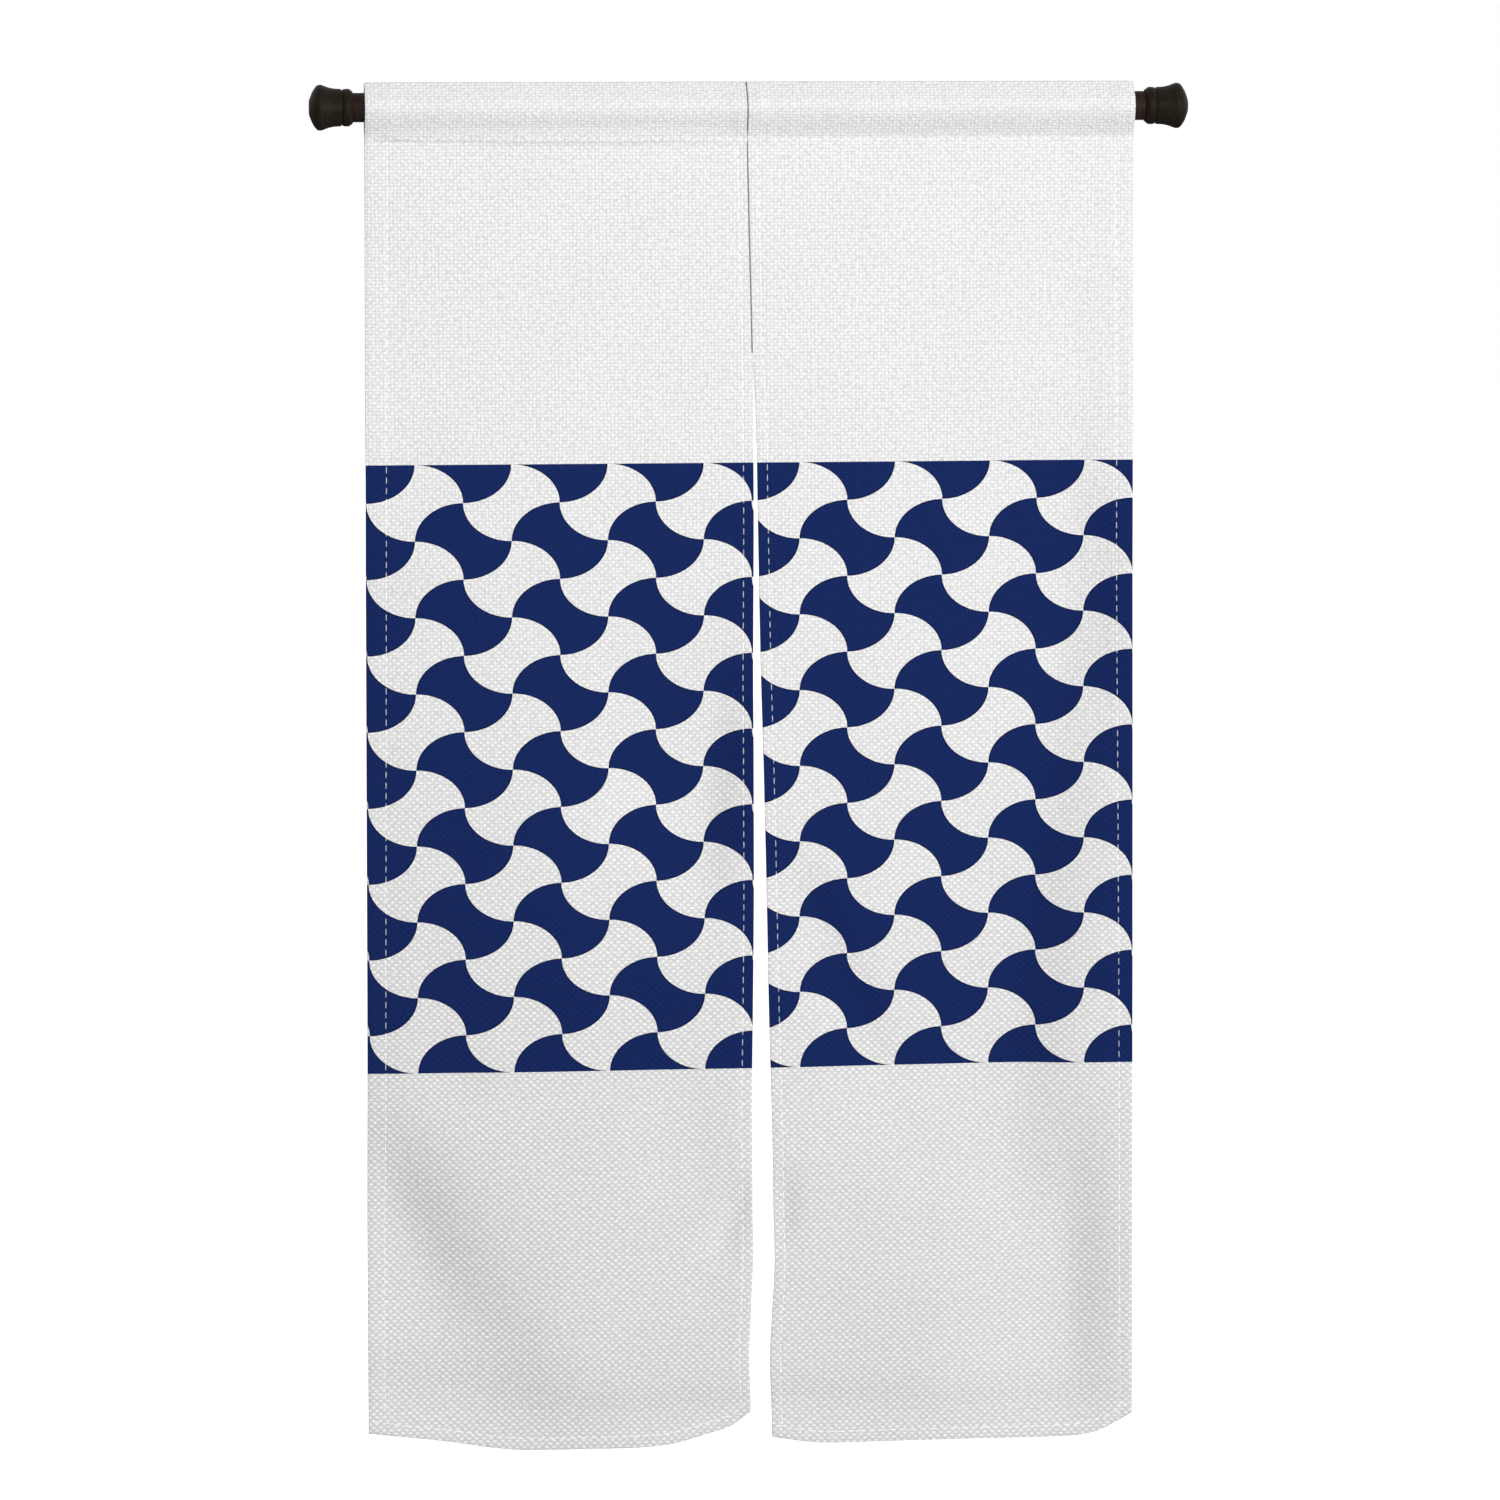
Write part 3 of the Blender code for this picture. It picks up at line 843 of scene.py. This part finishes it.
def layStitches(path, outward, phase, shown=1.0):
    # Short rounded stitches along a path of points, on the side that outward points to.
    # Shown is how much of the thread shows between the yarns.
    halfWidth, halfHeight = shown * stitch["halfWidth"], shown * stitch["halfHeight"]
    gaps = np.linalg.norm(np.diff(path, axis=0), axis=1)
    distance = np.concatenate([[0.0], np.cumsum(gaps)])
    places, faces = [], []
    sides, rings = stitch["sides"], stitch["rings"]
    aroundAngles = np.linspace(0, 2 * math.pi, sides, endpoint=False)
    start = phase * stitch["pitch"]

    def at(d):
        return np.array([np.interp(d, distance, path[:, axis]) for axis in range(3)])

    while start + stitch["length"] < distance[-1]:
        ends = np.linspace(0, math.pi, rings + 2)[1:-1]
        first = sum(len(block) for block in places)
        centres = [at(start)]
        for angle in ends:
            centres.append(at(start + stitch["length"] * (1 - math.cos(angle)) / 2))
        centres.append(at(start + stitch["length"]))
        along = centres[-1] - centres[0]
        along /= np.linalg.norm(along)
        aside = np.cross(along, outward)
        aside /= np.linalg.norm(aside)
        up = np.cross(aside, along)
        block = [centres[0] - up * halfHeight]
        for angle, centre in zip(ends, centres[1:-1]):
            swell = math.sin(angle) ** 0.45
            lift = centre + up * halfHeight * (swell - 0.55)
            for c, s in zip(np.cos(aroundAngles), np.sin(aroundAngles)):
                block.append(lift + swell * (aside * c * halfWidth + up * s * halfHeight))
        block.append(centres[-1] - up * halfHeight)
        for k in range(sides):
            following = (k + 1) % sides
            faces.append((first, first + 1 + following, first + 1 + k))
            for ring in range(rings - 1):
                low = first + 1 + ring * sides
                high = low + sides
                faces.append((low + k, low + following, high + following, high + k))
            last = first + 1 + (rings - 1) * sides
            faces.append((last + k, last + following, first + 1 + rings * sides))
        places.append(np.array(block))
        start += stitch["pitch"]
    return np.concatenate(places), faces


def joinBlocks(name, blocks, material):
    points, faces, first = [], [], 0
    for block, blockFaces in blocks:
        points.append(block)
        faces += [tuple(first + index for index in face) for face in blockFaces]
        first += len(block)
    mesh = bpy.data.meshes.new(name)
    mesh.from_pydata(np.concatenate(points).tolist(), [], faces)
    tidy = bmesh.new()
    tidy.from_mesh(mesh)
    bmesh.ops.recalc_face_normals(tidy, faces=tidy.faces)
    tidy.to_mesh(mesh)
    tidy.free()
    mesh.materials.append(material)
    mesh.shade_smooth()
    piece = bpy.data.objects.new(name, mesh)
    bpy.context.scene.collection.objects.link(piece)
    return piece


def frontLane(grid, kind, inset):
    # the front lane that lies nearest an inset from that edge
    best = [
        (abs(value - inset), index)
        for index, (laneKind, value, layer) in enumerate(grid["lanes"])
        if laneKind == kind and layer == 0
    ]
    return min(best)[1]


def threadBlocks(name, grid):
    side = panels[name]["side"]
    leftHem, rightHem = hemWidths(side)
    points = grid["points"]
    hang, pocket = grid["hangStart"], grid["pocketStart"]
    half = curtain["clothThickness"] / 2
    front, back = np.array([0.0, -1.0, 0.0]), np.array([0.0, 1.0, 0.0])
    blocks = []
    hemBack = curtain["layerStep"] + half
    for kind, width in (("left", leftHem), ("right", rightHem)):
        lane = frontLane(grid, kind, width - stitch["hemInset"])
        path = points[hang + 2 : pocket + 1, lane]
        blocks.append(layStitches(path + front * half, front, 0.2))
        blocks.append(layStitches(path + back * hemBack, back, 0.7))
    # along the foot, where the hem's raw edge lies behind
    row = hang + round((curtain["footHem"] - stitch["hemInset"]) / curtain["rowSpacing"])
    frontLanes = [index for index, (_, _, layer) in enumerate(grid["lanes"]) if layer == 0]
    path = points[row, frontLanes]
    blocks.append(layStitches(path + front * half, front, 0.3))
    blocks.append(layStitches(path + back * hemBack, back, 0.8))
    # along the pocket, in front at the crease and behind on the flap
    path = points[pocket, frontLanes] - np.array([0.0, 0.0, stitch["creaseBelow"]])
    blocks.append(layStitches(path + front * half, front, 0.1, stitch["pocketShown"]))
    behind = points[-2, frontLanes] + np.array([0.0, 0.0, stitch["flapAbove"]])
    blocks.append(layStitches(behind + back * half, back, 0.6))
    return blocks


grids = {}
for name, panel in panels.items():
    grid = buildGrid(name)
    grids[name] = grid
    piece = meshFromGrid(name, grid, (clothFace, clothBack))
    solid = piece.modifiers.new("clothThickness", "SOLIDIFY")
    solid.thickness = curtain["clothThickness"]
    solid.offset = 0.0
    solid.material_offset = 1
    thread = joinBlocks(name.replace("cloth", "thread"), threadBlocks(name, grid), whiteThread)
    for item in (piece, thread):
        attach(item, "root")
    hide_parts(panel["node"])
    print(name, "made,", len(piece.data.polygons), "faces, thread", len(thread.data.polygons))


# The seam that joins the panels above the slit, with a dark grey thread that is also painted shade for
# the shadow in the gap between the panels

seam = {
    "radius": 0.00080,
    "rows": 40,
}


def makeSeam():
    curve = bpy.data.curves.new("seamThread", "CURVE")
    curve.dimensions = "3D"
    curve.bevel_depth = seam["radius"]
    curve.bevel_resolution = 2
    curve.use_fill_caps = True
    top, half = curtain["pocketTop"], curtain["clothThickness"] / 2
    path = pocketPath(0.0, 1.0)
    points = []
    for y, z in reversed(path[: len(path) // 2]):
        points.append((float(slitEdge(top - z, -1)), y - half, z))
    for drop in np.linspace(curtain["stitchDrop"], curtain["seamDrop"], seam["rows"])[1:]:
        x = float(slitEdge(drop, -1)) + curtain["seamGap"] / 2
        points.append((x, curtain["frontFaceY"], top - drop))
    spline = curve.splines.new("POLY")
    spline.points.add(len(points) - 1)
    for point, place in zip(spline.points, points):
        point.co = (*place, 1.0)
    curve.materials.append(seamShadeThread)
    piece = bpy.data.objects.new("seamThread", curve)
    bpy.context.scene.collection.objects.link(piece)
    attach(piece, "root")
    return piece


makeSeam()
print("seam made")


# Pole and caps

def turned(name, profile, sides, material):
    # profile holds (radius, height) down the outer side
    mesh = bpy.data.meshes.new(name)
    outline = bmesh.new()
    points = [outline.verts.new((radius, 0.0, height)) for radius, height in profile]
    for first, second in zip(points, points[1:]):
        outline.edges.new((first, second))
    outline.to_mesh(mesh)
    outline.free()
    mesh.materials.append(material)
    piece = bpy.data.objects.new(name, mesh)
    bpy.context.scene.collection.objects.link(piece)
    turn = piece.modifiers.new("turned", "SCREW")
    turn.steps = turn.render_steps = sides
    turn.use_merge_vertices = True
    turn.merge_threshold = 0.00001
    turn.use_smooth_shade = True
    return piece


def makePole():
    low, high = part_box("pole")
    half = (high.x - low.x) / 2
    radius, bevel = pole["radius"], pole["bevel"]
    profile = [(0.0, half), (radius - bevel, half), (radius, half - bevel)]
    for share in np.linspace(0, 1, pole["rings"] + 1)[1:-1]:
        profile.append((radius, (half - bevel) * (1 - 2 * share)))
    profile += [(radius, bevel - half), (radius - bevel, -half), (0.0, -half)]
    piece = turned("poleBar", profile, pole["sides"], poleStain)
    piece.rotation_euler = (0.0, math.pi / 2, 0.0)
    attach(piece, "root")
    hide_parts("pole")


def makeCap(name, node, side):
    bore, bevel = pole["radius"] + pole["seatGap"], cap["mouthBevel"]
    mouth = -cap["profile"][-1][0]
    bottom = mouth + cap["socketDepth"]
    profile = [(0.0, 0.0)] + [(radius, -inset) for inset, radius in cap["profile"]]
    profile += [(bore + bevel, mouth), (bore, mouth + bevel), (bore, bottom), (0.0, bottom)]
    piece = turned(name, profile, cap["sides"], capStain)
    piece.location = (side * cap["tipX"], 0.0, 0.0)
    piece.rotation_euler = (0.0, side * math.pi / 2, 0.0)
    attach(piece, "root")
    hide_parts(node)


makePole()
makeCap("capLeft", "cap_left", -1)
makeCap("capRight", "cap_right", 1)
print("pole and caps made")


# Studio

studio = {
    "floorZ": -1.95,
    "floorSize": 60.0,
    "floorTone": 0.28,
    "skyLight": (0.33, 0.37),   # in front, from below and from above
    "backLight": 1.0,           # behind, which lights the edges alone
    "backFrom": (0.05, 0.30),   # how far back it sets in, as a share of the way round
    "lights": (                 # name, place, aim, size, power
        ("farKey", (11.0, -15.2, 1.4), (0.0, 0.0, -0.7), 6.0, 2270.0),
        ("nearTop", (0.10, -3.0, 0.4), (0.0, 0.0, -0.3), 1.5, 41.0),
    ),
}

# The camera that fits the photo's frame of 1500 by 1500.
view = {
    "place": (-0.8431, -8.0, 0.0483),
    "yaw": -6.0,
    "pitch": -5.380,
    "roll": -0.118,
    "focalPixels": 7301.8,
    "frame": 1500.0,
    "sensor": 36.0,
}


def makeFloor():
    size = studio["floorSize"] / 2
    mesh = bpy.data.meshes.new("floor")
    surface = bmesh.new()
    bmesh.ops.create_grid(surface, x_segments=8, y_segments=8, size=size)
    surface.to_mesh(mesh)
    surface.free()
    material, tree, shader = newMaterial("paleFloor")
    shader.inputs["Base Color"].default_value = (*[studio["floorTone"]] * 3, 1)
    shader.inputs["Roughness"].default_value = 1.0
    shader.inputs["Specular IOR Level"].default_value = 0.0
    shader.inputs["Emission Color"].default_value = (1, 1, 1, 1)
    seen = addNode(tree, "ShaderNodeLightPath").outputs["Is Camera Ray"]
    feed(tree, seen, shader.inputs["Emission Strength"])
    mesh.materials.append(material)
    floor = bpy.data.objects.new("floor", mesh)
    floor.location = (0.0, 0.0, studio["floorZ"])
    bpy.context.scene.collection.objects.link(floor)


def makeLights():
    world = bpy.data.worlds.new("studio")
    bpy.context.scene.world = world
    world.use_nodes = True
    tree = world.node_tree
    background = tree.nodes["Background"]
    background.inputs["Color"].default_value = (1, 1, 1, 1)
    place = addNode(tree, "ShaderNodeSeparateXYZ")
    feed(tree, addNode(tree, "ShaderNodeTexCoord").outputs["Generated"], place.inputs[0])
    sky = mapRange(tree, place.outputs[2], -1.0, 1.0, *studio["skyLight"])
    seen = addNode(tree, "ShaderNodeLightPath").outputs["Is Camera Ray"]
    behind = mapRange(tree, place.outputs[1], *studio["backFrom"], sky, studio["backLight"])
    feed(tree, mapRange(tree, seen, 0.0, 1.0, behind, 1.0), background.inputs["Strength"])
    for name, place, aim, size, power in studio["lights"]:
        light = bpy.data.lights.new(name, "AREA")
        light.energy = power
        light.shape = "SQUARE"
        light.size = size
        lamp = bpy.data.objects.new(name, light)
        lamp.location = place
        lamp.rotation_euler = (Vector(aim) - Vector(place)).to_track_quat("-Z", "Y").to_euler()
        bpy.context.scene.collection.objects.link(lamp)


def makeCamera():
    data = bpy.data.cameras.new("camera")
    data.sensor_width = view["sensor"]
    data.lens = view["focalPixels"] / view["frame"] * view["sensor"]
    data.clip_end = 200.0
    camera = bpy.data.objects.new("camera", data)
    turn = Matrix.Rotation(math.radians(view["yaw"]), 4, "Z")
    turn @= Matrix.Rotation(math.radians(90 + view["pitch"]), 4, "X")
    turn @= Matrix.Rotation(math.radians(view["roll"]), 4, "Z")
    camera.matrix_world = Matrix.Translation(view["place"]) @ turn
    bpy.context.scene.collection.objects.link(camera)
    bpy.context.scene.camera = camera


makeFloor()
makeLights()
makeCamera()
bpy.context.scene.view_settings.view_transform = "Standard"
print("studio made")
